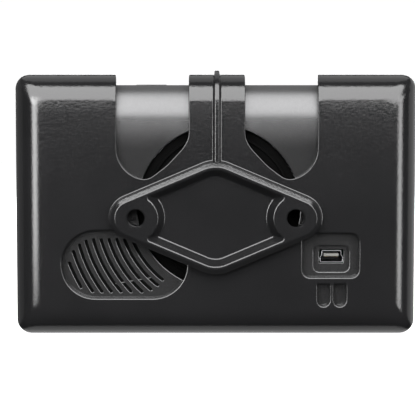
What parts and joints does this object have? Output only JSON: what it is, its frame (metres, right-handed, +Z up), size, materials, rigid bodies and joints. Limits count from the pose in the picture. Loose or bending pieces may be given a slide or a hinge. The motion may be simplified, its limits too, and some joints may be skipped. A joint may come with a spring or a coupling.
{
  "type": "in-car screen unit in snap-in cradle",
  "caption": "Rectangular in-car screen unit held in a black wrap-round snap-in cradle with a flexing top latch and a raised diamond mounting boss on the back.",
  "frame": {"origin": "midway between the two mounting holes, on the face of their ears", "axes": "-Y points out of the back of the cradle, towards the bracket that is bolted on; +X runs along the unit's width; +Z is up"},
  "size_m": [0.1244, 0.026, 0.0822],
  "materials": {
    "cradle_plastic": "fine-grained moulded black",
    "housing_grey": "satin dark grey paint",
    "dock_black": "satin black",
    "mesh_black": "woven dust cloth",
    "bezel_black": "gloss black",
    "lens_glass": "smoked gloss",
    "tape_black": "foam tape",
    "display": "dark display glass",
    "diffuser": "white diffuser",
    "plated_steel": "plated sheet",
    "frame_metal": "die-cast",
    "board_green": "solder mask",
    "chip_black": "moulded epoxy",
    "antenna_board": "bare laminate",
    "copper": "etched copper",
    "ceramic": "fired ceramic",
    "cable_black": "cable jacket",
    "battery_foil": "pouch foil",
    "tape_white": "adhesive tape",
    "wire_red": "wire insulation",
    "plug_cream": "moulded nylon",
    "cone_paper": "paper cone",
    "magnet_steel": "plated magnet",
    "socket_steel": "nickel plate",
    "socket_tongue": "moulded liquid-crystal polymer",
    "gold": "gold flash",
    "button_grey": "satin",
    "screw_steel": "machined",
    "flex_amber": "polyimide film"
  },
  "bodies": {
    "root": {"cradle_shell": "cradle_plastic", "rear_cover": "housing_grey", "dock_plate": "dock_black", "speaker_grille": "mesh_black", "front_bezel": "bezel_black", "touch_lens": "lens_glass", "lens_tape": "tape_black", "lcd_panel": "display", "lcd_backlight": "diffuser", "lcd_tray": "plated_steel", "mid_frame": "frame_metal", "main_board": "board_green", "board_chips": "chip_black", "shield_can": "plated_steel", "radar_antenna": "antenna_board", "radar_patches": "copper", "radar_shield": "plated_steel", "gps_patch": "ceramic", "gps_base": "plated_steel", "antenna_coax": "cable_black", "battery_cell": "battery_foil", "battery_tape": "tape_white", "battery_lead": "wire_red", "battery_plug": "plug_cream", "speaker_gasket": "tape_black", "speaker_cone": "cone_paper", "speaker_frame": "magnet_steel", "speaker_magnet": "magnet_steel", "usb_shell": "socket_steel", "usb_tongue": "socket_tongue", "usb_contacts": "gold", "power_switch": "chip_black", "housing_screws": "screw_steel", "board_screws": "screw_steel", "display_ribbon": "flex_amber", "touch_ribbon": "flex_amber"},
    "latch": {"latch_tongue": "cradle_plastic"},
    "button": {"power_button": "button_grey"}
  },
  "joints": [
    {"name": "latch_flex", "type": "hinge", "parent": "root", "child": "latch", "pos_m": [0.0004, 0.0051, 0.0238], "axis": [1, 0, 0], "range_deg": [0, 6], "stiffness_Nm_per_rad": 0.1},
    {"name": "power_press", "type": "slide", "parent": "root", "child": "button", "axis": [0, 0, -1], "range_m": [0, 0.0005], "stiffness_N_per_m": 150}
  ]
}
